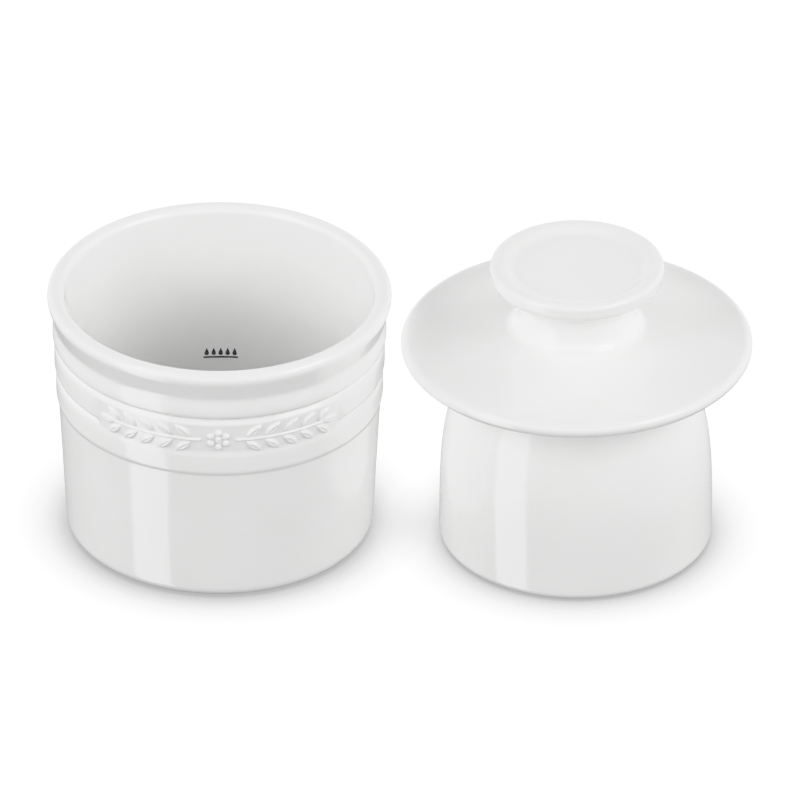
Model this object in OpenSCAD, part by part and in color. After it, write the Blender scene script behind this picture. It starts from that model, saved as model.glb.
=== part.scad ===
// Butter crock in glazed stoneware. The open crock holds a little water. Butter is packed into the
// bell under the lid, and the closed lid hangs from its brim on the lip of the crock. Here the lid
// is off and stands on the mouth of its bell, beside the crock.
// Millimetres, +Z up, origin on the table at the centre of the crock's foot, ornament facing -Y.

/* [Crock] */
// Diameter over the lip
lip_d = 100; // [98:1:104]
// Height to the top of the lip
crock_h = 78.5; // [76:0.5:84]
// Thickness of the lip, which is fully rounded on top
lip_t = 5; // [4.5:0.1:5.5]
// Diameter of the body just above the foot
foot_d = 89.4; // [87:0.1:91]
// Diameter of the plain wall just under the raised bands
wall_d = 93.8; // [92:0.1:95]
// Thickness of the floor
floor_t = 6; // [4.5:0.1:7]
// Thickness of the wall at the floor
wall_t = 4; // [3.5:0.1:4.5]
// Radius of the outer edge at the foot
foot_edge_r = 3.6; // [2.5:0.1:4.5]
// Width of the ring that touches the table
foot_ring_w = 5; // [4:0.1:8]
// Depth of the recess inside the foot ring
foot_recess = 1; // [0.6:0.1:1.5]

/* [Raised bands] */
// Height of one raised band
band_h = 9.6; // [9:0.1:10]
// Diameter over the crest of the lowest band
band_d = 95.1; // [94.8:0.1:96]
// How much wider each band is than the one below it
band_step_d = 1; // [0.6:0.1:1.2]
// Depth of the grooves between the bands
groove = 0.9; // [0.6:0.1:1.1]

/* [Ornament] */
// Half of the angle that the plain front panel takes up
panel_half = 48; // [44:1:52]
// Height of the panel
panel_h = 10.2; // [9.5:0.1:11]
// How far the leaves stand up from the panel
relief_t = 0.8; // [0.5:0.1:1]
// Leaves on each side of the rosette, counted along the stem
leaf_rows = 5; // [4:1:5]
// Length of one leaf
leaf_l = 5.6; // [5:0.1:5.8]
// Width of one leaf
leaf_w = 2.3; // [1.8:0.1:2.6]

/* [Level mark] */
// Height of the level line above the table
mark_z = 29.4; // [26:0.1:34]
// Length of the level line
mark_w = 10.2; // [9:0.1:12]
// Number of water drops above the line
drops = 5; // [3:1:5]

/* [Lid] */
// Diameter over the brim
brim_d = 102; // [100:1:105]
// Thickness of the brim
brim_t = 4.6; // [4:0.1:5]
// Height of the middle of the brim's edge, with the lid standing on its bell
brim_z = 63.9; // [62:0.1:66]
// How far the brim rises from its edge to the knob
brim_rise = 3.4; // [2:0.1:4]
// Diameter of the bell
bell_d = 79.4; // [78:0.1:80]
// Thickness of the bell's wall
bell_t = 4.2; // [3.8:0.1:4.6]
// Diameter of the knob
knob_d = 50.6; // [48:0.1:52]
// Height to the top of the knob
lid_h = 91; // [90:0.5:93]
// Smallest diameter of the neck under the knob
neck_d = 32; // [30:0.5:34]
// Depth of the dish in the top of the knob
dish = 1.8; // [1:0.1:2.2]

/* [Layout] */
// Distance from the crock's axis to the lid's axis along X
lid_x = 103.6; // [103:0.1:130]
// How far the lid stands in front of the crock
lid_front = 6.5; // [0:0.5:12]

/* [Hidden] */
$fn = 96;
glaze = [0.94, 0.94, 0.93];
glaze_dark = [0.86, 0.87, 0.88];
ink = [0.25, 0.25, 0.26];
arc_steps = 8;

// Crock: the lip is a full round, the cove is the hollow under it
lip_r = lip_t / 2;
lip_c = [lip_d / 2 - lip_r, crock_h - lip_r];
cove_z = crock_h - 9.2;
cove_r = lip_d / 2 - 1.9;
low_groove_z = crock_h - 34.8;
groove_z = [for (i = [0:2]) low_groove_z + band_h * i];
band_lo = 1.5;
band_up = 3.9;
crest_start = 2.6;
lip_slope_h = 4.4;
floor_edge_r = 7;

// Ornament, centred on the panel
panel_z = groove_z[1] + 2.2;
panel_low_r = band_d / 2 - 0.35;
panel_high_r = panel_low_r + 0.7;
panel_trim = 0.4;
panel_back = 2;
cut_out = 4;
lap = 0.2;
petals = 6;
petal_d = 2.4;
petal_gap = 0.2;
leaf_tilt = 38;
leaf_pitch = 6.7;
leaf_first = 9.5;
leaf_foot = 0.3;
stem_h = 0.9;
stem_gap = 0.25;
stem_part = 0.7;
stem_start = 6;
stem_end = leaf_first + leaf_pitch * (leaf_rows - 0.65);

// Level mark
mark_t = 0.15;
line_h = 0.5;
drop_d = 1.3;
drop_h = 2.4;
drop_gap = 0.6;
drop_side = 25;

// Lid
brim_r = brim_t / 2;
seat_z = brim_z - brim_r;
seat_r = 31;
under_arch = 0.9;
shoulder_z = 10;
shoulder_r = 11.4;
bell_fillet = 2.5;
mouth_edge_r = 2.7;
mouth_in_r = 0.8;
crown_t = 5;
ceiling_part = 0.62;
knob_seat_z = seat_z + brim_t + brim_rise;
knob_seat_r = 21;
rim_r = 1.8;
disc_h = 5.8;
disc_edge_r = 2.2;
disc_edge_in = 1.6;
dish_rim_in = 1;
dish_slope = 0.22;
knob_wall = 4;
hollow_slope = [3, 1.6];
disc_wall = 5.2;

function arc(c, r, a0, a1, n = arc_steps) =
    [for (i = [0:n]) let (a = a0 + (a1 - a0) * i / n) c + r * [cos(a), sin(a)]];
function ease(u) = u * u * (3 - 2 * u);

// Radius of the crock's inner wall, a straight cone from the floor to the lip
function inner_r(z) =
    let (low = foot_d / 2 - wall_t, high = lip_c[0] - lip_r)
    low + (high - low) * (z - floor_t) / (lip_c[1] - floor_t);

// One band from the groove at z0 up to the groove at z1: a tight lower edge, a flat crest and a
// long soft shoulder
function band(z0, z1, crest) = concat(
    [for (i = [0:arc_steps]) let (a = 90 * i / arc_steps)
        [crest - groove * (1 - sin(a)), z0 + band_lo * (1 - cos(a))]],
    [for (i = [0:arc_steps]) let (a = 90 * i / arc_steps)
        [crest - groove * (1 - cos(a)), z1 - band_up * (1 - sin(a))]]);

// The top band runs up into the cove, and the cove into the lip
function top_band(z0, crest) = concat(
    [for (i = [0:arc_steps]) let (a = 90 * i / arc_steps)
        [crest - groove * (1 - sin(a)), z0 + band_lo * (1 - cos(a))]],
    [for (i = [0:arc_steps]) let (u = i / arc_steps, z = z0 + crest_start)
        [crest + (cove_r - crest) * ease(u), z + (cove_z - z) * u]],
    [for (i = [1:arc_steps]) let (u = i / arc_steps)
        [cove_r + (lip_d / 2 - cove_r) * sin(90 * u), cove_z + lip_slope_h * u]]);

function crest_r(i) = band_d / 2 + band_step_d / 2 * i;

module crock_outline() {
    foot_in = foot_d / 2 - foot_edge_r - foot_ring_w;
    polygon(concat(
        [[0, foot_recess], [foot_in - foot_recess, foot_recess], [foot_in, 0]],
        arc([foot_d / 2 - foot_edge_r, foot_edge_r], foot_edge_r, -90, 0),
        [[wall_d / 2, groove_z[0] - lap]],
        band(groove_z[0], groove_z[1], crest_r(0)),
        band(groove_z[1], groove_z[2], crest_r(1)),
        top_band(groove_z[2], crest_r(2)),
        arc(lip_c, lip_r, 0, 180, 2 * arc_steps),
        arc([inner_r(floor_t + floor_edge_r) - floor_edge_r, floor_t + floor_edge_r],
            floor_edge_r, 0, -90),
        [[0, floor_t]]));
}

// Radius of the panel's face, which leans out a little towards the top like the wall
function panel_r(z) =
    panel_low_r + (panel_high_r - panel_low_r) * ((z - panel_z) / panel_h + 0.5);

// A skin over the panel, between two distances from its face, from angle -half to +half
module panel_skin(t0, t1, z0, z1, half) {
    rotate([0, 0, -90 - half])
        rotate_extrude(angle = 2 * half)
            polygon([[panel_r(z0) + t0, z0], [panel_r(z1) + t0, z1],
                     [panel_r(z1) + t1, z1], [panel_r(z0) + t1, z0]]);
}

module crock_body() {
    color(glaze)
        difference() {
            union() {
                rotate_extrude() crock_outline();
                panel_skin(-panel_back, lap, panel_z - panel_h / 2 + panel_trim,
                           panel_z + panel_h / 2 - panel_trim, panel_half - panel_trim);
            }
            panel_skin(0, cut_out, panel_z - panel_h / 2, panel_z + panel_h / 2, panel_half);
        }
}

// A leaf as the overlap of two circles, with its foot at the origin and its tip along +X
module leaf_outline() {
    r = (leaf_l * leaf_l + leaf_w * leaf_w) / (4 * leaf_w);
    intersection() {
        translate([leaf_l / 2, r - leaf_w / 2]) circle(r = r);
        translate([leaf_l / 2, leaf_w / 2 - r]) circle(r = r);
    }
}

// Stands a flat outline on the panel, turned about the crock's axis to the given angle
module on_panel(angle, z, t) {
    intersection() {
        panel_skin(0, t, z - panel_h / 2, z + panel_h / 2, panel_half);
        rotate([0, 0, angle])
            translate([0, 0, z])
                rotate([90, 0, 0])
                    linear_extrude(height = panel_high_r + cut_out)
                        children();
    }
}

module sprig_relief() {
    color(glaze_dark) {
        on_panel(0, panel_z, relief_t) circle(d = petal_d);
        for (i = [0:petals - 1])
            on_panel(0, panel_z, relief_t)
                rotate([0, 0, 360 / petals * i + 30])
                    translate([petal_d + petal_gap, 0])
                        circle(d = petal_d - petal_gap);
        for (side = [-1, 1]) {
            for (i = [0:leaf_rows - 1])
                for (up = [-1, 1])
                    on_panel(side * (leaf_first + leaf_pitch * i), panel_z, relief_t)
                        mirror([side < 0 ? 1 : 0, 0])
                            mirror([0, up < 0 ? 1 : 0])
                                translate([0, stem_h / 2 + stem_gap])
                                    rotate([0, 0, leaf_tilt])
                                        translate([leaf_foot, 0])
                                            leaf_outline();
            on_panel(side * stem_end, panel_z, relief_t)
                mirror([side < 0 ? 1 : 0, 0])
                    translate([leaf_foot, 0])
                        leaf_outline();
            rotate([0, 0, side * (stem_start + stem_end) / 2])
                panel_skin(0, relief_t * stem_part, panel_z - stem_h / 2, panel_z + stem_h / 2,
                           (stem_end - stem_start) / 2);
        }
    }
}

// A thin skin on the inner wall between two heights, centred on the back of the crock
module wall_skin(z0, z1, half) {
    rotate([0, 0, 90 - half])
        rotate_extrude(angle = 2 * half)
            polygon([[inner_r(z0), z0], [inner_r(z1), z1],
                     [inner_r(z1) - mark_t, z1], [inner_r(z0) - mark_t, z0]]);
}

module drop_outline() {
    translate([0, drop_d / 2]) circle(d = drop_d);
    side_x = drop_d / 2 * cos(drop_side);
    side_y = drop_d / 2 * (1 + sin(drop_side));
    polygon([[-side_x, side_y], [0, drop_h], [side_x, side_y], [0, drop_d / 2]]);
}

module fill_mark() {
    half = asin(mark_w / 2 / inner_r(mark_z));
    pitch = 2 * half / drops;
    color(ink) {
        wall_skin(mark_z - line_h / 2, mark_z + line_h / 2, half);
        for (i = [0:drops - 1])
            intersection() {
                wall_skin(mark_z, mark_z + drop_gap + drop_h + lap, 2 * half);
                rotate([0, 0, pitch * (i - (drops - 1) / 2)])
                    translate([0, inner_r(mark_z) + cut_out, mark_z + drop_gap])
                        rotate([90, 0, 0])
                            linear_extrude(height = 2 * cut_out)
                                drop_outline();
            }
    }
}

// Outer radius of the bell: a plain wall that turns in along a cubic, then out under the brim in
// a fillet
function bell_r(z) =
    let (v = max(0, z - seat_z + bell_fillet) / bell_fillet)
    bell_d / 2 - shoulder_r * pow(max(0, z - shoulder_z) / (seat_z - shoulder_z), 3)
    + bell_fillet * (1 - sqrt(max(0, 1 - v * v)));

module bell_outline() {
    ceiling_z = seat_z - crown_t;
    in_r = bell_d / 2 - bell_t;
    steps = 3 * arc_steps;
    polygon(concat(
        arc([bell_d / 2 - mouth_edge_r, mouth_edge_r], mouth_edge_r, -90, 0),
        [for (i = [0:steps]) let (z = shoulder_z + (seat_z - bell_fillet - shoulder_z) * i / steps)
            [bell_r(z), z]],
        [for (i = [1:arc_steps]) let (z = seat_z - bell_fillet * (1 - sin(90 * i / arc_steps)))
            [bell_r(z), z]],
        [[0, seat_z], [0, ceiling_z]],
        [for (i = [steps:-1:0]) let (a = 90 * i / steps)
            [in_r * (ceiling_part + (1 - ceiling_part) * cos(a)),
             shoulder_z + (ceiling_z - shoulder_z) * sin(a)]],
        arc([in_r + mouth_in_r, mouth_in_r], mouth_in_r, 180, 270)));
}

// Places the lid beside the crock, standing on the mouth of its bell
module at_lid() {
    translate([lid_x, -lid_front, 0]) children();
}

module bell_cup() {
    color(glaze)
        at_lid()
            rotate_extrude() bell_outline();
}

// Height that the brim gains from its edge, where u = 0, to the seat of the knob, where u = 1
function dome(u) = brim_rise * ease(u);

module brim_outline() {
    edge_c = [brim_d / 2 - brim_r, brim_z];
    steps = 2 * arc_steps;
    polygon(concat(
        [[0, seat_z], [seat_r, seat_z]],
        [for (i = [1:arc_steps]) let (u = i / arc_steps, r = seat_r + (edge_c[0] - seat_r) * u)
            [r, seat_z + under_arch * pow(sin(180 * u), 2)]],
        arc(edge_c, brim_r, -90, 90),
        [for (i = [1:steps]) let (u = i / steps, r = edge_c[0] + (knob_seat_r - edge_c[0]) * u)
            [r, brim_z + brim_r + dome(u)]],
        [[0, knob_seat_z]]));
}

module lid_brim() {
    color(glaze)
        at_lid()
            rotate_extrude() brim_outline();
}

// The neck is a hollow curve that flares down onto the brim and up into the disc
module knob_outline() {
    top_r = knob_d / 2 - rim_r;
    disc_z = lid_h - disc_h;
    neck_z = (knob_seat_z + disc_z) / 2;
    dish_r = top_r - dish_rim_in;
    disc_r = knob_d / 2 - disc_edge_in;
    hollow_r = neck_d / 2 - knob_wall;
    hollow_z = lid_h - disc_wall;
    steps = 2 * arc_steps;
    difference() {
        polygon(concat(
            [[0, knob_seat_z], [knob_seat_r, knob_seat_z]],
            [for (i = [1:steps]) let (a = 90 * i / steps)
                [knob_seat_r - (knob_seat_r - neck_d / 2) * sin(a),
                 knob_seat_z + (neck_z - knob_seat_z) * (1 - cos(a))]],
            [for (i = [1:steps]) let (a = 90 * i / steps)
                [neck_d / 2 + (disc_r - neck_d / 2) * (1 - cos(a)),
                 neck_z + (disc_z - neck_z) * sin(a)]],
            arc([knob_d / 2 - disc_edge_r, disc_z + disc_edge_r], disc_edge_r, -60, 0),
            arc([top_r, lid_h - rim_r], rim_r, 0, 90),
            [for (i = [0:steps]) let (u = i / steps)
                [dish_r * (1 - u), lid_h - dish * ease(min(1, u / dish_slope))]]));
        polygon([[0, knob_seat_z - lap], [hollow_r, knob_seat_z - lap],
                 [hollow_r, hollow_z - hollow_slope[1]], [hollow_r - hollow_slope[0], hollow_z],
                 [0, hollow_z]]);
    }
}

module knob() {
    color(glaze)
        at_lid()
            rotate_extrude() knob_outline();
}

crock_body();
sprig_relief();
fill_mark();
bell_cup();
lid_brim();
knob();
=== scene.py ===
"""A butter crock in white glazed stoneware, with its lid beside it on the mouth of its bell."""
import math

import bmesh
import bpy
import numpy as np
from mathutils import Matrix, Vector


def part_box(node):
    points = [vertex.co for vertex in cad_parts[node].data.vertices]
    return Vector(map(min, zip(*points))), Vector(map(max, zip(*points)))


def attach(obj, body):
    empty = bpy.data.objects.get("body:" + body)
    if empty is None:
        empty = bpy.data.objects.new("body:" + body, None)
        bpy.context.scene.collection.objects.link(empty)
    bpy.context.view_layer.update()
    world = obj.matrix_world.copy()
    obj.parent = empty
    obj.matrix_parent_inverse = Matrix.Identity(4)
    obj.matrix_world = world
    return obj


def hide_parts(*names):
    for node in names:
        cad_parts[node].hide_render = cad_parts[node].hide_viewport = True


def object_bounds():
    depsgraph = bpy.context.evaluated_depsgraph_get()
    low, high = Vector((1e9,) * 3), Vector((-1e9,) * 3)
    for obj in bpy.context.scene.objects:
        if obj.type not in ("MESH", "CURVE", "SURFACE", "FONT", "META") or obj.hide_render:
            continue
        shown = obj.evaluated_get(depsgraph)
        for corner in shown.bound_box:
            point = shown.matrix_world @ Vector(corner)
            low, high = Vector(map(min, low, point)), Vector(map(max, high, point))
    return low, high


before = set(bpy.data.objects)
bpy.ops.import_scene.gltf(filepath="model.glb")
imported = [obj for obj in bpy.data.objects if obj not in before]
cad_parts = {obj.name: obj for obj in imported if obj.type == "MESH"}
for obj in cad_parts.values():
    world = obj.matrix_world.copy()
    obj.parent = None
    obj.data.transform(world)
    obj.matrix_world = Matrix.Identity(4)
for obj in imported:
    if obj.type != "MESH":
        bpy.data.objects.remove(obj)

cad_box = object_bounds()

# ---------------------------------------------------------------- sizes, in millimetres
MM = 0.001


def span(node):
    """A round CAD node's axis in metres, and its radius and top in millimetres."""
    low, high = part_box(node)
    axis = ((low.x + high.x) / 2, (low.y + high.y) / 2)
    return axis, (high.x - low.x) / 2 / MM, high.z / MM


CROCK_AXIS, LIP_R, CROCK_H = span("crock_body")
LID_AXIS, BELL_R, SEAT_Z = span("bell_cup")
BRIM_R, KNOB_SEAT_Z = span("lid_brim")[1:]
KNOB_R, LID_H = span("knob")[1:]

# Crock
LIP_TUBE = 2.5
LIP_Z = CROCK_H - LIP_TUBE
LIP_SLOPE = 6.1
LIP_STEPS = 18
COVE_Z = CROCK_H - 9.2
COVE_R = LIP_R - 1.9
WALL_R = LIP_R - 3.1
FOOT_R = LIP_R - 5.3
FOOT_EDGE = 3.6
FOOT_RING = 5.0
FOOT_RECESS = 1.0
WALL_T = 4.0
FLOOR_T = 6.0
FLOOR_EDGE = 7.0
BARE_FADE = 0.4

# Raised bands, counted up from the lowest
BAND_H = 9.6
BAND_DROP = 35.4
GROOVES = [CROCK_H - BAND_DROP + BAND_H * i for i in range(3)]
BAND_R = LIP_R - 2.45
BAND_STEP = 0.5
GROOVE = 0.9
BAND_EDGE = 1.9
BAND_SHOULDER = 3.9
CREST_START = 2.6
NOTCH = 0.8
NOTCH_HALF = 0.7
GLAZE_SOFT = 0.35

# Front panel and sprig. PANEL_HALF to COARSE_STEP, and where leaves and stem start and end, are
# degrees round the crock
relief_low, relief_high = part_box("sprig_relief")
PANEL_Z = (relief_low.z + relief_high.z) / 2 / MM
PANEL_H = 10.2
PANEL_HALF = 48
PANEL_FADE = 2.5
FINE_HALF = PANEL_HALF + 4
FINE_STEP = 0.3
COARSE_STEP = 2.6
PANEL_LOW_R = BAND_R - 0.35
PANEL_HIGH_R = PANEL_LOW_R + 0.7
PANEL_R = (PANEL_LOW_R + PANEL_HIGH_R) / 2
RELIEF = 0.8
DEGREE = math.radians(1) * PANEL_R
LEAF_ROWS = 5
LEAF_PITCH = 6.7
LEAF_FIRST = 9.5
LEAF_FOOT = 0.3
LEAF_L = 5.6
LEAF_W = 2.3
LEAF_TILT = 38
VEIN_HALF = 0.22
VEIN_DEPTH = 0.35
STEM_H = 0.9
STEM_RISE = 0.7
STEM_TAPER = 0.35
STEM_GAP = 0.25
STEM_START = 6
STEM_END = LEAF_FIRST + LEAF_PITCH * (LEAF_ROWS - 0.65)
PETALS = 6
PETAL_D = 2.4
BUTTON_DISH = 0.25

# Level mark
mark_low, mark_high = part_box("fill_mark")
MARK_W = (mark_high.x - mark_low.x) / MM
LINE_H = 0.5
LINE_Z = mark_low.z / MM + LINE_H / 2
DROPS = 5
DROP_D = 1.3
DROP_H = 2.4
DROP_GAP = 0.6
INK_T = 0.1

# Lid
EDGE_R = 2.3
BRIM_Z = SEAT_Z + EDGE_R
BRIM_RISE = KNOB_SEAT_Z - BRIM_Z - EDGE_R
SEAT_R = 31.0
UNDER_ARCH = 0.9
SHOULDER_Z = 10.0
SHOULDER_R = 11.4
FILLET = 2.5
BELL_T = 4.2
MOUTH_EDGE = 2.7
MOUTH_INNER = 0.8
CROWN_T = 5.0
CEILING_PART = 0.62
KNOB_SEAT_R = 21.0
NECK_R = 16.0
RIM_TUBE = 1.8
DISC_H = 5.8
DISC_EDGE = 2.2
DISC_EDGE_IN = 1.6
DISH = 1.8
DISH_RIM_IN = 1.0
DISH_SLOPE = 0.22
KNOB_SOFT = 1.2


# ---------------------------------------------------------------- shapes
def ease(u):
    return u * u * (3 - 2 * u)


def fade(start, end, x):
    """0 at start, 1 at end, and smooth between."""
    return ease(np.clip((x - start) / (end - start), 0, 1))


def arc(centre, radius, start, end, steps=8):
    """Points (radius, height) along an arc, with angles in degrees."""
    a = np.radians(np.linspace(start, end, steps + 1))
    return np.column_stack([centre[0] + radius * np.cos(a), centre[1] + radius * np.sin(a)])


def stretch(start, end, step):
    """Numbers from start up to but not including end, about a step apart."""
    return np.linspace(start, end, max(1, round(abs(end - start) / step)), endpoint=False)


def lathe(name, outline, angles, axis, moulded=None):
    """A closed mesh turned about the vertical. The outline runs from the axis, under and up the
    outside, over the top and back to the axis, in millimetres. moulded(radius, height, angle)
    may change the radius."""
    rings = outline[1:-1]
    radius = np.repeat(rings[:, :1], len(angles), axis=1)
    height = np.repeat(rings[:, 1:], len(angles), axis=1)
    if moulded:
        radius = moulded(radius, height, angles[None, :])
    points = np.stack([radius * np.sin(angles), -radius * np.cos(angles), height], axis=-1)
    ends = [[0, 0, outline[0][1]], [0, 0, outline[-1][1]]]
    points = np.concatenate([points.reshape(-1, 3), ends]) * MM + [axis[0], axis[1], 0]
    count = len(angles)
    grid = np.arange(len(rings) * count).reshape(len(rings), count)
    beside = np.roll(grid, -1, axis=1)
    quads = np.stack([grid[:-1], beside[:-1], beside[1:], grid[1:]], axis=-1).reshape(-1, 4)
    under, over = grid.size, grid.size + 1
    faces = quads.tolist()
    faces += [[under, b, a] for a, b in zip(grid[0].tolist(), beside[0].tolist())]
    faces += [[over, a, b] for a, b in zip(grid[-1].tolist(), beside[-1].tolist())]
    return solid(name, points, faces)


def solid(name, points, faces):
    """A mesh object with smooth faces that look outwards."""
    mesh = bpy.data.meshes.new(name)
    mesh.from_pydata(np.asarray(points).tolist(), [], faces)
    shape = bmesh.new()
    shape.from_mesh(mesh)
    bmesh.ops.recalc_face_normals(shape, faces=shape.faces)
    shape.to_mesh(mesh)
    shape.free()
    mesh.shade_smooth()
    thing = bpy.data.objects.new(name, mesh)
    bpy.context.scene.collection.objects.link(thing)
    return thing


def blur_weights(steps):
    """Shifts from -2 to 2, and how much each counts in a mean that favours the middle."""
    shifts = np.linspace(-2, 2, steps)
    return shifts, np.exp(-shifts ** 2 / 2)


def softened(outline, reach, points=90):
    """The same outline with its corners rounded off by the glaze, and with its ends kept."""
    along = np.concatenate([[0], np.cumsum(np.hypot(*np.diff(outline, axis=0).T))])
    even = np.linspace(0, along[-1], points)
    room = np.minimum(reach, np.minimum(even, along[-1] - even) / 2)
    shifts, weights = blur_weights(17)
    total = 0
    for shift, weight in zip(shifts, weights):
        there = np.clip(even + shift * room, 0, along[-1])
        point = np.column_stack([np.interp(there, along, outline[:, i]) for i in (0, 1)])
        total = total + point * weight
    return total / weights.sum()


def keep_sharp(thing, rings):
    """Keeps the edge sharp along rings, each a (radius, height) about the lid's axis."""
    mesh = thing.data
    flags = np.zeros(len(mesh.edges), bool)
    points = np.array([v.co for v in mesh.vertices]) - [LID_AXIS[0], LID_AXIS[1], 0]
    radius = np.hypot(points[:, 0], points[:, 1]) / MM
    ends = np.array([e.vertices for e in mesh.edges])
    for ring_r, ring_z in rings:
        near = np.hypot(radius - ring_r, points[:, 2] / MM - ring_z) < 0.01
        flags |= near[ends].all(axis=1)
    mesh.attributes.new("sharp_edge", "BOOLEAN", "EDGE").data.foreach_set("value", flags)


def mark_bare(thing, axis, inner, outer, depth):
    """Marks the ring that the piece is fired on, up to depth, which stays free of glaze."""
    mesh = thing.data
    points = np.array([v.co for v in mesh.vertices]) - [axis[0], axis[1], 0]
    radius = np.hypot(points[:, 0], points[:, 1]) / MM
    bare = fade(inner - BARE_FADE, inner, radius) * fade(outer + BARE_FADE, outer, radius)
    bare *= fade(depth + BARE_FADE / 2, depth, points[:, 2] / MM)
    mesh.attributes.new("bare", "FLOAT", "POINT").data.foreach_set("value", bare)


# ---------------------------------------------------------------- crock
def inner_r(z):
    """Radius of the inner wall at height z."""
    return np.interp(z, [FLOOR_T, LIP_Z], [FOOT_R - WALL_T, LIP_R - 2 * LIP_TUBE])


def mould_wall(z):
    """Radius of the outer wall at height z, as crisp as the mould leaves it."""
    r = np.interp(z, [FOOT_EDGE, GROOVES[0]], [FOOT_R, WALL_R])
    for i, low in enumerate(GROOVES):
        edge = 1 - np.clip((z - low) / BAND_EDGE, 0, 1)
        band = BAND_R + BAND_STEP * i - GROOVE * (1 - np.sqrt(1 - edge ** 2))
        if i < 2:
            rise = 1 - np.clip((GROOVES[i + 1] - z) / BAND_SHOULDER, 0, 1)
            band = band - GROOVE * (1 - np.sqrt(1 - rise ** 2))
        r = np.where(z >= low, band, r)
        if i > 0:
            r = r - NOTCH * np.exp(-((z - low) / NOTCH_HALF) ** 2)
    start = GROOVES[2] + CREST_START
    crest = BAND_R + BAND_STEP * 2
    r = r + (COVE_R - crest) * ease(np.clip((z - start) / (COVE_Z - start), 0, 1))
    return r + (LIP_R - COVE_R) * np.clip((z - COVE_Z) / LIP_SLOPE, 0, 1)


def glazed_wall(z):
    """The same wall under its glaze, which softens the edges and fills the grooves a little."""
    shifts, weights = blur_weights(9)
    total = sum(w * mould_wall(z + GLAZE_SOFT * s) for s, w in zip(shifts, weights))
    return total / weights.sum()


def leaf(x, y):
    """Height of a leaf with its foot at x = 0 and its tip at x = LEAF_L, from 0 to 1."""
    r = (LEAF_L ** 2 + LEAF_W ** 2) / (4 * LEAF_W)
    outside = np.hypot(x - LEAF_L / 2, np.abs(y) + r - LEAF_W / 2) - r
    vein = np.exp(-(y / VEIN_HALF) ** 2) * fade(0.2, 1.2, x)
    vein = vein * fade(LEAF_L - 0.4, LEAF_L - 1.6, x)
    return fade(0.25, -0.6, outside) * (1 - VEIN_DEPTH * vein)


def sprig(s, t):
    """Height of the sprig over the panel, from 0 to 1, at s along the panel and t up it."""
    along, up = np.abs(s), np.abs(t)
    tilt = math.radians(LEAF_TILT)
    height = np.zeros(np.broadcast(s, t).shape)
    for i in range(LEAF_ROWS):
        x = along - (LEAF_FIRST + LEAF_PITCH * i) * DEGREE
        y = up - STEM_H / 2 - STEM_GAP
        turned = x * math.cos(tilt) + y * math.sin(tilt), y * math.cos(tilt) - x * math.sin(tilt)
        height = np.maximum(height, leaf(turned[0] - LEAF_FOOT, turned[1]))
    height = np.maximum(height, leaf(along - STEM_END * DEGREE - LEAF_FOOT, t))
    start, end = STEM_START * DEGREE, STEM_END * DEGREE
    ends = fade(start - 0.3, start + 0.5, along)
    ends = ends * fade(end + 1.0, end, along)
    thin = 1 - STEM_TAPER * fade(start, end, along)
    stem = STEM_RISE * fade(0.15, -0.4, up - STEM_H / 2 * thin) * ends
    height = np.maximum(height, stem)
    for i in range(PETALS):
        turn = math.radians(360 / PETALS * i + 30)
        gap = np.hypot(s - PETAL_D * math.cos(turn), t - PETAL_D * math.sin(turn))
        height = np.maximum(height, fade(0.2, -0.6, gap - PETAL_D / 2 + 0.1))
    button = np.hypot(s, t) - PETAL_D / 2
    dished = 1 - BUTTON_DISH * fade(-0.6, -1.2, button)
    return np.maximum(height, fade(0.1, -0.5, button) * dished)


def panelled(radius, height, angle):
    """The front panel interrupts the bands and carries the sprig."""
    lean = (height - PANEL_Z) / PANEL_H
    panel = PANEL_LOW_R + (PANEL_HIGH_R - PANEL_LOW_R) * (lean + 0.5)
    turn = np.abs(np.degrees(angle))
    low, high = PANEL_Z - PANEL_H / 2, PANEL_Z + PANEL_H / 2
    within = fade(PANEL_HALF + PANEL_FADE, PANEL_HALF - PANEL_FADE, turn)
    within = within * fade(low - 1, low + 2, height)
    within = within * fade(high + 0.6, high - 1, height)
    within = np.where(radius > PANEL_R - 3, within, 0)
    raised = RELIEF * sprig(angle * PANEL_R, height - PANEL_Z)
    return radius + (panel + raised - radius) * within


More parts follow.
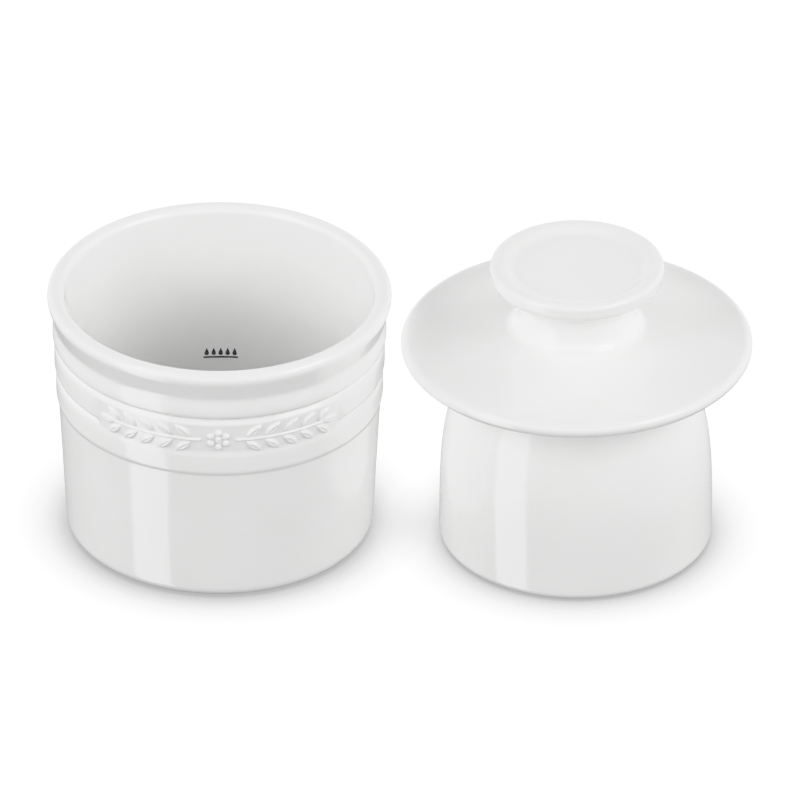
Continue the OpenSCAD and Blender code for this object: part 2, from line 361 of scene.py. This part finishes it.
def make_crock():
    """Pot, bands, front panel and sprig in one skin, with the finest rings at the grooves."""
    foot_in = FOOT_R - FOOT_EDGE - FOOT_RING
    u = np.linspace(0, 1, 7)
    recess = np.column_stack([foot_in - 1.6 * (1 - u), FOOT_RECESS * (1 - ease(u))])
    panel_low = PANEL_Z - PANEL_H / 2 - 1
    heights = np.concatenate([
        stretch(FOOT_EDGE, GROOVES[0] - 1, 2.2), stretch(GROOVES[0] - 1, GROOVES[0] + 2.2, 0.2),
        stretch(GROOVES[0] + 2.2, panel_low, 0.5), stretch(panel_low, GROOVES[1] - 0.6, 0.2),
        stretch(GROOVES[1] - 0.6, GROOVES[1] + 0.6, 0.12),
        stretch(GROOVES[1] + 0.6, GROOVES[2] - 0.6, 0.19),
        stretch(GROOVES[2] - 0.6, GROOVES[2] + 1.8, 0.16),
        stretch(GROOVES[2] + 1.8, LIP_Z, 0.6)])
    outer = np.column_stack([glazed_wall(heights), heights])
    lip = arc((LIP_R - LIP_TUBE, LIP_Z), LIP_TUBE, 0, 180, LIP_STEPS)
    bend_z = FLOOR_T + FLOOR_EDGE
    down = stretch(LIP_Z, bend_z, 3)[1:]
    inner = np.column_stack([inner_r(down), down])
    floor_r = inner_r(bend_z) - FLOOR_EDGE
    floor = arc((floor_r, bend_z), FLOOR_EDGE, 0, -90, 10)
    outline = np.concatenate([
        [[0, FOOT_RECESS], [foot_in / 2, FOOT_RECESS]], recess, [[foot_in + FOOT_RING / 2, 0]],
        arc((FOOT_R - FOOT_EDGE, FOOT_EDGE), FOOT_EDGE, -90, 0)[:-1], outer, lip, inner, floor,
        [[floor_r / 2, FLOOR_T], [0, FLOOR_T]]])
    front = np.arange(-FINE_HALF, FINE_HALF, FINE_STEP)
    back = stretch(FINE_HALF, 360 - FINE_HALF, COARSE_STEP)
    angles = np.radians(np.concatenate([front, back]))
    crock = lathe("glazed_crock", outline, angles, CROCK_AXIS, panelled)
    mark_bare(crock, CROCK_AXIS, foot_in, FOOT_R - FOOT_EDGE + 0.5, 0.05)
    return crock


# ---------------------------------------------------------------- level mark
def ink_blob(outline, x, z):
    """Points and faces of one printed mark on the inner back wall, as a low dome."""
    count = len(outline)
    points = []
    rings = ((1, -0.02), (1, 0.3), (0.94, 0.75), (0.7, 1), (0.35, 1))
    for part, lift in rings:
        for across, up in np.asarray(outline) * part:
            turn = (x + across) / inner_r(z)
            r = inner_r(z + up) - INK_T * lift
            points.append([r * math.sin(turn), r * math.cos(turn), z + up])
    faces = []
    last = len(rings) - 1
    for ring in range(last):
        for i in range(count):
            a, b = ring * count + i, ring * count + (i + 1) % count
            faces.append([a, b, b + count, a + count])
    faces.append(list(range(count)))
    faces.append(list(range(last * count, (last + 1) * count)))
    return points, faces


def make_level_mark():
    """The level line and a row of water drops over it, all in one printed mark."""
    end = MARK_W / 2 - LINE_H / 2
    half = LINE_H / 2
    line = [(end + half * math.cos(a), half * math.sin(a))
            for a in np.linspace(-math.pi / 2, math.pi / 2, 9)]
    straight = [(x, half) for x in np.linspace(end, -end, 22)[1:-1]]
    line = line + straight + [(-x, -y) for x, y in line] + [(-x, -y) for x, y in straight]
    drop_r = DROP_D / 2
    middle = DROP_H * 0.4
    drop = [(drop_r * math.sin(a), drop_r - middle - drop_r * math.cos(a))
            for a in np.linspace(math.radians(-115), math.radians(115), 25)]
    tip = DROP_H - middle
    side = [(drop[-1][0] * (1 - u), drop[-1][1] + (tip - drop[-1][1]) * u ** 0.9)
            for u in np.linspace(0, 1, 7)[1:]]
    drop = drop + side + [(-x, y) for x, y in side[-2::-1]]
    pitch = MARK_W / DROPS
    blobs = [(line, 0, LINE_Z)]
    for i in range(DROPS):
        blobs.append((drop, pitch * (i - (DROPS - 1) / 2), LINE_Z + DROP_GAP + middle))
    points, faces = [], []
    for outline, x, z in blobs:
        new_points, new_faces = ink_blob(outline, x, z)
        faces += [[i + len(points) for i in face] for face in new_faces]
        points += new_points
    return solid("level_mark", np.array(points) * MM, faces)


# ---------------------------------------------------------------- lid
LID_ANGLES = np.radians(np.arange(0, 360, 1.25))


def bell_r(z):
    """Radius of the bell at height z: it narrows to its shoulder and flares out to the brim."""
    narrow = SHOULDER_R * (np.maximum(0, z - SHOULDER_Z) / (SEAT_Z - SHOULDER_Z)) ** 3
    v = np.maximum(0, z - SEAT_Z + FILLET) / FILLET
    return BELL_R - narrow + FILLET * (1 - np.sqrt(np.maximum(0, 1 - v * v)))


def make_bell():
    """The butter cup, hollow from below, with a rounded mouth that it stands on."""
    in_r = BELL_R - BELL_T
    ceiling = SEAT_Z - CROWN_T
    heights = stretch(MOUTH_EDGE, SEAT_Z - FILLET, 0.9)[1:]
    turn = np.radians(np.linspace(0, 90, 13))
    heights = np.concatenate([heights, SEAT_Z - FILLET * (1 - np.sin(turn))])
    a = np.radians(np.linspace(90, 0, 37))
    inside = np.column_stack([in_r * (CEILING_PART + (1 - CEILING_PART) * np.cos(a)),
                              SHOULDER_Z + (ceiling - SHOULDER_Z) * np.sin(a)])
    lip_r = in_r + MOUTH_INNER
    outline = np.concatenate([
        [[0, ceiling], [in_r * CEILING_PART * 0.6, ceiling]], inside,
        [[in_r, SHOULDER_Z * 0.7], [in_r, SHOULDER_Z * 0.4]],
        arc((lip_r, MOUTH_INNER), MOUTH_INNER, 180, 270),
        arc((BELL_R - MOUTH_EDGE, MOUTH_EDGE), MOUTH_EDGE, -90, 0, 12),
        np.column_stack([bell_r(heights), heights]), [[0, SEAT_Z]]])
    bell = lathe("glazed_bell", outline, LID_ANGLES, LID_AXIS)
    keep_sharp(bell, [(bell_r(SEAT_Z), SEAT_Z)])
    mark_bare(bell, LID_AXIS, lip_r, BELL_R - MOUTH_EDGE + 0.3, 0.05)
    return bell


def make_brim():
    """The brim, arched a little below and rising on top to the seat of the knob."""
    edge_r = BRIM_R - EDGE_R
    u = np.linspace(0, 1, 25)
    under = np.column_stack([SEAT_R + (edge_r - SEAT_R) * u,
                             SEAT_Z + UNDER_ARCH * np.sin(math.pi * u) ** 2])
    top = np.column_stack([edge_r + (KNOB_SEAT_R - edge_r) * u,
                           BRIM_Z + EDGE_R + BRIM_RISE * ease(u)])
    outline = np.concatenate([
        [[0, SEAT_Z]], under[:-1], arc((edge_r, BRIM_Z), EDGE_R, -90, 90, 18), top[1:],
        [[0, KNOB_SEAT_Z]]])
    brim = lathe("glazed_brim", outline, LID_ANGLES, LID_AXIS)
    keep_sharp(brim, [(SEAT_R, SEAT_Z), (KNOB_SEAT_R, KNOB_SEAT_Z)])
    return brim


def make_knob():
    """The neck, the disc with its softened lower edge, and the dish in its top."""
    disc_z = LID_H - DISC_H
    neck_z = (KNOB_SEAT_Z + disc_z) / 2
    disc_r = KNOB_R - DISC_EDGE_IN
    a = np.radians(np.linspace(0, 90, 19))
    flare = np.column_stack([KNOB_SEAT_R - (KNOB_SEAT_R - NECK_R) * np.sin(a),
                             KNOB_SEAT_Z + (neck_z - KNOB_SEAT_Z) * (1 - np.cos(a))])
    under = np.column_stack([NECK_R + (disc_r - NECK_R) * (1 - np.cos(a)),
                             neck_z + (disc_z - neck_z) * np.sin(a)])
    u = np.linspace(0, 0.96, 33)
    dish_r = KNOB_R - RIM_TUBE - DISH_RIM_IN
    dish = np.column_stack([dish_r * (1 - u), LID_H - DISH * ease(np.minimum(1, u / DISH_SLOPE))])
    edge = np.concatenate([
        under, arc((KNOB_R - DISC_EDGE, disc_z + DISC_EDGE), DISC_EDGE, -60, 0),
        [[KNOB_R, LID_H - RIM_TUBE]]])
    outline = np.concatenate([
        [[0, KNOB_SEAT_Z]], flare, softened(edge, KNOB_SOFT)[1:],
        arc((KNOB_R - RIM_TUBE, LID_H - RIM_TUBE), RIM_TUBE, 0, 90, 12)[1:], dish,
        [[0, LID_H - DISH]]])
    knob = lathe("glazed_knob", outline, LID_ANGLES, LID_AXIS)
    keep_sharp(knob, [(KNOB_SEAT_R, KNOB_SEAT_Z)])
    return knob


# ---------------------------------------------------------------- materials
def node(tree, kind, **settings):
    """A shader node with its properties and inputs set; an input's name has _ for each space."""
    made = tree.nodes.new(kind)
    for name, value in settings.items():
        if hasattr(made, name):
            setattr(made, name, value)
        else:
            made.inputs[name.replace("_", " ")].default_value = value
    return made


def new_material(name):
    material = bpy.data.materials.new(name)
    material.use_nodes = True
    material.node_tree.nodes.clear()
    return material, material.node_tree


def white_glaze():
    """Opaque white glaze on stoneware. Its tone and gloss vary a little at random, and its skin
    ripples.
    """
    material, tree = new_material("white_glaze")
    link = tree.links.new
    place = node(tree, "ShaderNodeTexCoord")
    clouds = node(tree, "ShaderNodeTexNoise", Scale=55.0, Detail=3.0, Roughness=0.55)
    ripple = node(tree, "ShaderNodeTexNoise", Scale=330.0, Detail=2.0, Roughness=0.45)
    swell = node(tree, "ShaderNodeTexNoise", Scale=38.0, Detail=1.0, Roughness=0.4)
    for texture in (clouds, ripple, swell):
        link(place.outputs["Object"], texture.inputs["Vector"])

    tone = node(tree, "ShaderNodeValToRGB")
    tone.color_ramp.elements[0].position = 0.3
    tone.color_ramp.elements[0].color = (0.888, 0.887, 0.882, 1)
    tone.color_ramp.elements[1].position = 0.7
    tone.color_ramp.elements[1].color = (0.905, 0.905, 0.902, 1)
    link(clouds.outputs["Fac"], tone.inputs["Fac"])

    bare = node(tree, "ShaderNodeAttribute", attribute_name="bare")
    clay = node(tree, "ShaderNodeMix", data_type="RGBA")
    clay.inputs["B"].default_value = (0.60, 0.56, 0.50, 1)
    link(bare.outputs["Fac"], clay.inputs["Factor"])
    link(tone.outputs["Color"], clay.inputs["A"])

    gloss = node(tree, "ShaderNodeMapRange", To_Min=0.07, To_Max=0.13)
    link(clouds.outputs["Fac"], gloss.inputs["Value"])
    dull = node(tree, "ShaderNodeMix", data_type="FLOAT")
    dull.inputs["B"].default_value = 0.85
    link(bare.outputs["Fac"], dull.inputs["Factor"])
    link(gloss.outputs["Result"], dull.inputs["A"])

    skin = node(tree, "ShaderNodeBump", Strength=0.06, Distance=0.0004)
    waves = node(tree, "ShaderNodeBump", Strength=0.10, Distance=0.0015)
    link(ripple.outputs["Fac"], skin.inputs["Height"])
    link(swell.outputs["Fac"], waves.inputs["Height"])
    link(waves.outputs["Normal"], skin.inputs["Normal"])

    shader = node(tree, "ShaderNodeBsdfPrincipled", IOR=1.5)
    link(clay.outputs["Result"], shader.inputs["Base Color"])
    link(dull.outputs["Result"], shader.inputs["Roughness"])
    link(skin.outputs["Normal"], shader.inputs["Normal"])
    out = node(tree, "ShaderNodeOutputMaterial")
    link(shader.outputs["BSDF"], out.inputs["Surface"])
    return material


def fired_ink():
    """Dark ceramic ink under a thin clear glaze, a little uneven as a transfer print is."""
    material, tree = new_material("fired_ink")
    link = tree.links.new
    place = node(tree, "ShaderNodeTexCoord")
    patches = node(tree, "ShaderNodeTexNoise", Scale=900.0, Detail=3.0, Roughness=0.6)
    link(place.outputs["Object"], patches.inputs["Vector"])
    tone = node(tree, "ShaderNodeValToRGB")
    tone.color_ramp.elements[0].position = 0.35
    tone.color_ramp.elements[0].color = (0.030, 0.030, 0.032, 1)
    tone.color_ramp.elements[1].position = 0.75
    tone.color_ramp.elements[1].color = (0.055, 0.055, 0.058, 1)
    link(patches.outputs["Fac"], tone.inputs["Fac"])
    gloss = node(tree, "ShaderNodeMapRange", To_Min=0.2, To_Max=0.35)
    link(patches.outputs["Fac"], gloss.inputs["Value"])
    grain = node(tree, "ShaderNodeBump", Strength=0.1, Distance=0.0001)
    link(patches.outputs["Fac"], grain.inputs["Height"])
    shader = node(tree, "ShaderNodeBsdfPrincipled", IOR=1.5)
    link(tone.outputs["Color"], shader.inputs["Base Color"])
    link(gloss.outputs["Result"], shader.inputs["Roughness"])
    link(grain.outputs["Normal"], shader.inputs["Normal"])
    out = node(tree, "ShaderNodeOutputMaterial")
    link(shader.outputs["BSDF"], out.inputs["Surface"])
    return material


# ---------------------------------------------------------------- the pieces
GLAZE = white_glaze()
INK = fired_ink()
GROUPS = {body: bpy.data.collections.new(body + "_pieces") for body in ("crock", "lid")}
for piece, material, slot, body, nodes in (
        (make_crock(), GLAZE, "white_glaze", "crock", ("crock_body", "sprig_relief")),
        (make_level_mark(), INK, "fired_ink", "crock", ("fill_mark",)),
        (make_bell(), GLAZE, "white_glaze", "lid", ("bell_cup",)),
        (make_brim(), GLAZE, "white_glaze", "lid", ("lid_brim",)),
        (make_knob(), GLAZE, "white_glaze", "lid", ("knob",))):
    piece.data.materials.append(material)
    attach(piece, body)
    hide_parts(*nodes)
    GROUPS[body].objects.link(piece)

# ---------------------------------------------------------------- table, light and camera
centre = (cad_box[0] + cad_box[1]) / 2

TABLE_SIZE = 24.0
TABLE_FILL = 0.5
SHADOW_REACH = 0.018
SHADOW_FALL = 3.0
SHADOW_GLOW = 0.47
TABLE_GLOW = 1.75
BAND_HEIGHT = 0.4
BAND_WIDTH = 0.2
BAND_LIGHT = 1.0
ROOM_LIGHT = 0.65
ROOM_HEIGHT = 0.55
BOX_DISTANCE = 1.2
CAMERA_HEIGHT = 31.3
CAMERA_ROLL = 0.1
CAMERA_DISTANCE = 8.0
CAMERA_REACH = 30
VIEW_WIDTH = 0.23236
SHOULDER = 0.8
WHITE_AT = 1.6


def emitter(name, strength=1.0):
    """A glowing material that takes no part in light sampling."""
    material, tree = new_material(name)
    material.cycles.emission_sampling = "NONE"
    glow = node(tree, "ShaderNodeEmission", Color=(1, 1, 1, 1), Strength=strength)
    out = node(tree, "ShaderNodeOutputMaterial")
    tree.links.new(glow.outputs["Emission"], out.inputs["Surface"])
    return material, tree, glow


def stage_face(name, corners, material, **seen_by):
    """A flat face of the studio, with the kinds of ray that see it."""
    mesh = bpy.data.meshes.new(name)
    mesh.from_pydata(corners, [], [(0, 1, 2, 3)])
    mesh.materials.append(material)
    face = bpy.data.objects.new(name, mesh)
    for kind, seen in seen_by.items():
        setattr(face, "visible_" + kind, seen)
    bpy.context.scene.collection.objects.link(face)


def make_table():
    """A white table whose glow carries a painted shadow close to the pieces, laid over the glow
    that lights them.
    """
    half = TABLE_SIZE / 2
    material, tree, glow = emitter("white_table")
    # painted shadow: ambient occlusion darkens the table's glow close to the pieces
    shade = node(tree, "ShaderNodeAmbientOcclusion", Distance=SHADOW_REACH, samples=16)
    darken = node(tree, "ShaderNodeMath", operation="POWER")
    darken.inputs[1].default_value = SHADOW_FALL
    brighten = node(tree, "ShaderNodeMapRange", To_Min=SHADOW_GLOW, To_Max=TABLE_GLOW)
    tree.links.new(shade.outputs["AO"], darken.inputs[0])
    tree.links.new(darken.outputs[0], brighten.inputs["Value"])
    tree.links.new(brighten.outputs["Result"], glow.inputs["Strength"])
    corners = [(-half, -half, 0), (half, -half, 0), (half, half, 0), (-half, half, 0)]
    stage_face("table", corners, material, diffuse=False, glossy=False, shadow=False)
    corners = [(x, y, -0.0002) for x, y, z in corners]
    stage_face("table_under", corners, emitter("table_fill", TABLE_FILL)[0], camera=False,
               glossy=False)


def away_from(azimuth, elevation):
    """A direction out from the object. Azimuth turns from the front towards the left."""
    a, e = math.radians(azimuth), math.radians(elevation)
    return Vector((-math.sin(a) * math.cos(e), -math.cos(a) * math.cos(e), math.sin(e)))


def softbox(name, azimuth, elevation, size, radiance, mirrored=True):
    """An area light that faces the object. Crock and lid have one each, so that neither shades
    the other. A light that isn't mirrored leaves no highlight."""
    away = away_from(azimuth, elevation)
    data = bpy.data.lights.new(name, "AREA")
    data.shape = "RECTANGLE"
    data.size, data.size_y = size
    data.energy = radiance * math.pi * size[0] * size[1]
    for body, pieces in GROUPS.items():
        light = bpy.data.objects.new(name + "_" + body, data)
        light.location = centre + away * BOX_DISTANCE
        light.rotation_euler = away.to_track_quat("Z", "Y").to_euler()
        light.visible_glossy = mirrored
        light.light_linking.receiver_collection = pieces
        light.light_linking.blocker_collection = pieces
        bpy.context.scene.collection.objects.link(light)


def mirrored_softbox(azimuth, width, low, high, radiance):
    """The tall bright strip in the glaze: an upright panel, from low to high in degrees of
    elevation, that only gloss can see. It goes on below the table, as its reflection would."""
    material = emitter("mirrored_softbox", radiance)[0]
    away = away_from(azimuth, 0)
    across = Vector((-away.y, away.x, 0)) * width / 2
    middle = Vector((centre.x, centre.y, 0)) + away * BOX_DISTANCE
    corners = [middle + across * side + Vector((0, 0, BOX_DISTANCE * math.tan(math.radians(e))))
               for side, e in ((-1, low), (1, low), (1, high), (-1, high))]
    stage_face("mirrored_softbox", corners, material, camera=False, diffuse=False, shadow=False)


def make_world():
    """A broad band of soft light round the front, and a dimmer room behind and below. Past the
    table's edge the camera sees plain white."""
    world = bpy.data.worlds.new("studio")
    world.use_nodes = True
    tree = world.node_tree
    link = tree.links.new

    def calc(operation, a, b=0.0):
        made = node(tree, "ShaderNodeMath", operation=operation)
        for socket, value in zip(made.inputs, (a, b)):
            if isinstance(value, float):
                socket.default_value = value
            else:
                link(value, socket)
        return made.outputs[0]

    place = node(tree, "ShaderNodeTexCoord")
    axes = node(tree, "ShaderNodeSeparateXYZ")
    link(place.outputs["Generated"], axes.inputs[0])
    back, up = axes.outputs["Y"], axes.outputs["Z"]
    offset = calc("DIVIDE", calc("SUBTRACT", up, BAND_HEIGHT), BAND_WIDTH)
    band = calc("EXPONENT", calc("MULTIPLY", calc("MULTIPLY", offset, offset), -1.0))
    band = calc("MULTIPLY", band, calc("MULTIPLY", calc("SUBTRACT", 1.0, back), BAND_LIGHT))
    height = calc("DIVIDE", up, ROOM_HEIGHT)
    room = calc("EXPONENT", calc("MULTIPLY", calc("MULTIPLY", height, height), -1.0))
    room = calc("MULTIPLY", room, calc("MULTIPLY", calc("ADD", 1.0, back), ROOM_LIGHT))
    seen = node(tree, "ShaderNodeLightPath").outputs["Is Camera Ray"]
    lit = calc("MULTIPLY", calc("ADD", band, room), calc("SUBTRACT", 1.0, seen))
    background = tree.nodes["Background"]
    link(calc("ADD", lit, calc("MULTIPLY", seen, TABLE_GLOW)), background.inputs["Strength"])
    background.inputs["Color"].default_value = (1, 1, 1, 1)
    bpy.context.scene.world = world


def make_camera():
    """A long lens, 31 degrees above the table, straight on to the front."""
    elevation = math.radians(CAMERA_HEIGHT)
    aim = centre + Vector((0.0001, 0, -0.0029))
    away = Vector((0, -math.cos(elevation), math.sin(elevation)))
    data = bpy.data.cameras.new("camera")
    data.sensor_width = 36
    data.lens = data.sensor_width * CAMERA_DISTANCE / VIEW_WIDTH
    data.clip_end = CAMERA_REACH
    camera = bpy.data.objects.new("camera", data)
    roll = Matrix.Rotation(math.radians(CAMERA_ROLL), 4, "Z")
    turn = away.to_track_quat("Z", "Y").to_matrix().to_4x4()
    camera.matrix_world = Matrix.Translation(aim + away * CAMERA_DISTANCE) @ turn @ roll
    bpy.context.scene.collection.objects.link(camera)
    bpy.context.scene.camera = camera


def soften_highlights():
    """The picture's tone curve: straight up to SHOULDER, then bending over to white."""
    view = bpy.context.scene.view_settings
    view.view_transform = "Standard"
    view.use_curve_mapping = True
    curves = view.curve_mapping
    curves.white_level = (WHITE_AT,) * 3
    curve = curves.curves[3]
    curve.points[0].location = (0, 0)
    curve.points[1].location = (1, 1)
    for light, tone in ((SHOULDER, SHOULDER), (1.0, 0.90), (1.25, 0.955)):
        curve.points.new(light / WHITE_AT, tone)
    curve.points[0].handle_type = "VECTOR"
    curve.points[1].handle_type = "VECTOR"
    curves.update()


make_table()
make_world()
softbox("left_softbox", 54.5, 33, (0.60, 0.6), 3.3, mirrored=False)
softbox("right_softbox", -58, 34, (0.60, 0.55), 3.3)
softbox("left_fill", 105, 35, (0.6, 0.8), 1.25, mirrored=False)
softbox("right_fill", -105, 35, (0.6, 0.8), 1.65, mirrored=False)
softbox("top_softbox", 0, 90, (1.0, 1.0), 0.4, mirrored=False)
mirrored_softbox(54.5, 0.62, -50, 55, 2.3)
make_camera()
soften_highlights()
